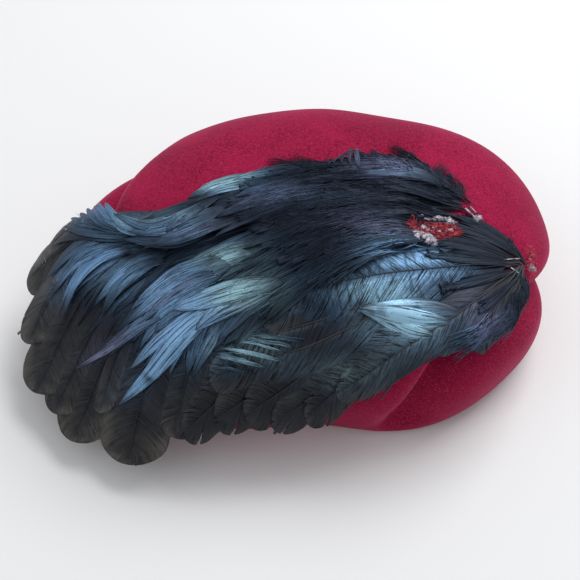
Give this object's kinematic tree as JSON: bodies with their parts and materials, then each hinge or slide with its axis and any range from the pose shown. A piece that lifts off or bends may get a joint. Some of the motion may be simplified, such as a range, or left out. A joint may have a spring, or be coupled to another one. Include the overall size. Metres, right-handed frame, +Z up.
{
  "type": "fascinator",
  "caption": "Draped velour felt cap, open below, with pressed folds and sprays of black coque feathers that fan across its front and droop past one side.",
  "frame": {"origin": "on the plane that the rim rests on, under the middle of the whole, feathers included", "axes": "+Z up from the rim, +X along the cap's long side towards the quills, -Y towards the front that the feathers cover"},
  "size_m": [0.2588, 0.1998, 0.0931],
  "materials": {
    "crimson_felt": "brushed velour nap, matte with a soft pink sheen at grazing angles",
    "coque_feather": "black feather barbs with a blue-green and violet iridescent gloss, brown-grey at the tips"
  },
  "bodies": {
    "root": {"felt_cap": "crimson_felt", "tail_spray": "coque_feather", "hackle_spray": "coque_feather", "coque_spray": "coque_feather"}
  },
  "joints": []
}
